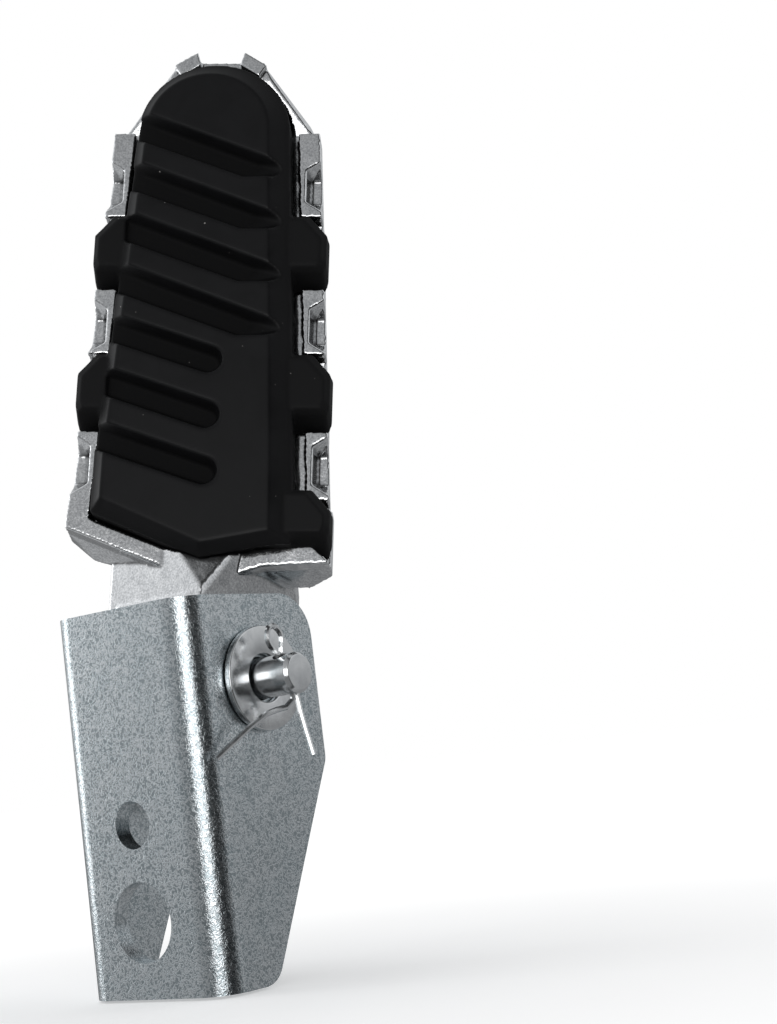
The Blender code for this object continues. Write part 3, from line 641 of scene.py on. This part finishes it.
def build_floor():
    """A pale floor that brightens to the backdrop's white away from the object."""
    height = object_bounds()[0].z - FLOOR_DROP
    mesh = bpy.data.meshes.new("floor")
    corners = [(x * FLOOR_HALF, y * FLOOR_HALF, height) for x, y in ((-1, -1), (1, -1), (1, 1), (-1, 1))]
    mesh.from_pydata(corners, [], [(0, 1, 2, 3)])
    floor = bpy.data.objects.new("floor", mesh)
    bpy.context.scene.collection.objects.link(floor)
    look = Look("pale_floor")
    tone = look.ramp(look.noise(60, 3.0), (0.3, 0.86), (0.7, 0.90))
    roughness = look.ramp(look.noise(8), (0.3, 0.75), (0.7, 0.85))
    distance = look.node("ShaderNodeVectorMath", operation="LENGTH")
    look.link(look.place, distance.inputs[0])
    far = look.ramp(distance.outputs["Value"], *FLOOR_FADE)
    colour = look.mixed(far, tone, (0, 0, 0))
    mesh.materials.append(look.finish(colour, roughness, look.bump(look.noise(3), 0.05, 0.1), 0.0))
    look.link(look.mixed(far, (0.35, 0.35, 0.35), (1, 1, 1)), look.shader.inputs["Emission Color"])
    look.shader.inputs["Emission Strength"].default_value = 1.0
    floor.visible_glossy = False


def build_world():
    """Plain white to the camera, and the studio of SKY_BY_HEIGHT and SKY_BY_AZIMUTH in reflections."""
    world = bpy.data.worlds.new("studio")
    bpy.context.scene.world = world
    world.use_nodes = True
    tree = world.node_tree
    tree.nodes.clear()

    def node(kind, **inputs):
        made = tree.nodes.new(kind)
        for key, value in inputs.items():
            if isinstance(value, bpy.types.NodeSocket):
                tree.links.new(value, made.inputs[key])
            else:
                made.inputs[key].default_value = value
        return made

    def ramp(value, stops):
        made = tree.nodes.new("ShaderNodeValToRGB")
        elements = made.color_ramp.elements
        while len(elements) < len(stops):
            elements.new(0.5)
        for element, (position, grey) in zip(elements, stops):
            element.position = position
            element.color = (grey, grey * 1.01, grey * 1.02, 1)
        tree.links.new(value, made.inputs["Fac"])
        return made.outputs["Color"]

    direction = tree.nodes.new("ShaderNodeTexCoord").outputs["Generated"]
    axes = node("ShaderNodeSeparateXYZ", Vector=direction)
    rise = node("ShaderNodeMapRange", Value=axes.outputs["Z"])
    rise.inputs["From Min"].default_value = -1.0
    ahead = node("ShaderNodeMath")
    ahead.operation = "MULTIPLY"
    ahead.inputs[1].default_value = -1.0
    tree.links.new(axes.outputs["Y"], ahead.inputs[0])
    turn = node("ShaderNodeMath")
    turn.operation = "ARCTAN2"
    tree.links.new(axes.outputs["X"], turn.inputs[0])
    tree.links.new(ahead.outputs["Value"], turn.inputs[1])
    around = node("ShaderNodeMapRange", Value=turn.outputs["Value"])
    around.inputs["From Min"].default_value = -pi
    around.inputs["From Max"].default_value = pi
    both = tree.nodes.new("ShaderNodeMix")
    both.data_type = "RGBA"
    both.blend_type = "MULTIPLY"
    both.inputs[0].default_value = 1.0
    tree.links.new(ramp(rise.outputs["Result"], SKY_BY_HEIGHT), both.inputs[6])
    turns = [((azimuth + 180) / 360, grey) for azimuth, grey in SKY_BY_AZIMUTH]
    tree.links.new(ramp(around.outputs["Result"], turns), both.inputs[7])
    studio = node("ShaderNodeBackground", Color=both.outputs[2], Strength=SKY_STRENGTH)
    plain = node("ShaderNodeBackground", Color=(1, 1, 1, 1), Strength=1.0)
    seen = tree.nodes.new("ShaderNodeLightPath").outputs["Is Camera Ray"]
    mix = tree.nodes.new("ShaderNodeMixShader")
    tree.links.new(seen, mix.inputs["Fac"])
    tree.links.new(studio.outputs["Background"], mix.inputs[1])
    tree.links.new(plain.outputs["Background"], mix.inputs[2])
    output = tree.nodes.new("ShaderNodeOutputWorld")
    tree.links.new(mix.outputs["Shader"], output.inputs["Surface"])


def direction_of(azimuth, elevation):
    """The direction from the object towards a place round it. Azimuth 0 is towards -Y."""
    turn, rise = radians(azimuth), radians(elevation)
    return Vector((sin(turn) * cos(rise), -cos(turn) * cos(rise), sin(rise)))


def add_light(name, azimuth, elevation, distance, size, power):
    light = bpy.data.lights.new(name, "AREA")
    light.shape = "RECTANGLE"
    light.size, light.size_y = size
    light.energy = power
    obj = bpy.data.objects.new(name, light)
    bpy.context.scene.collection.objects.link(obj)
    back = direction_of(azimuth, elevation)
    obj.location = (cad_box[0] + cad_box[1]) / 2 + back * distance
    obj.rotation_euler = back.to_track_quat("Z", "Y").to_euler()


def build_camera():
    back = direction_of(AZIMUTH, ELEVATION)
    flat_right = Vector((cos(radians(AZIMUTH)), sin(radians(AZIMUTH)), 0))
    flat_up = back.cross(flat_right)
    right = flat_right * cos(ROLL) - flat_up * sin(ROLL)
    up = flat_right * sin(ROLL) + flat_up * cos(ROLL)
    low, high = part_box("mount_bracket")
    foot = Vector(((low.x + high.x) / 2, low.y, low.z))
    data = bpy.data.cameras.new("camera")
    data.lens = LENS
    data.clip_start, data.clip_end = 0.01, 20
    camera = bpy.data.objects.new("camera", data)
    bpy.context.scene.collection.objects.link(camera)
    turn = Matrix((right, up, back)).transposed().to_4x4()
    place = foot + (right * AIM_RIGHT + up * AIM_UP + back * DISTANCE) * MM
    camera.matrix_world = Matrix.Translation(place) @ turn
    bpy.context.scene.camera = camera


build_bracket()
build_pin()
build_washer()
build_casting()
build_pad()
dress_cad_nodes()
build_floor()
build_world()
build_camera()
for light in LIGHTS:
    add_light(*light)
bpy.context.scene.view_settings.view_transform = "Standard"
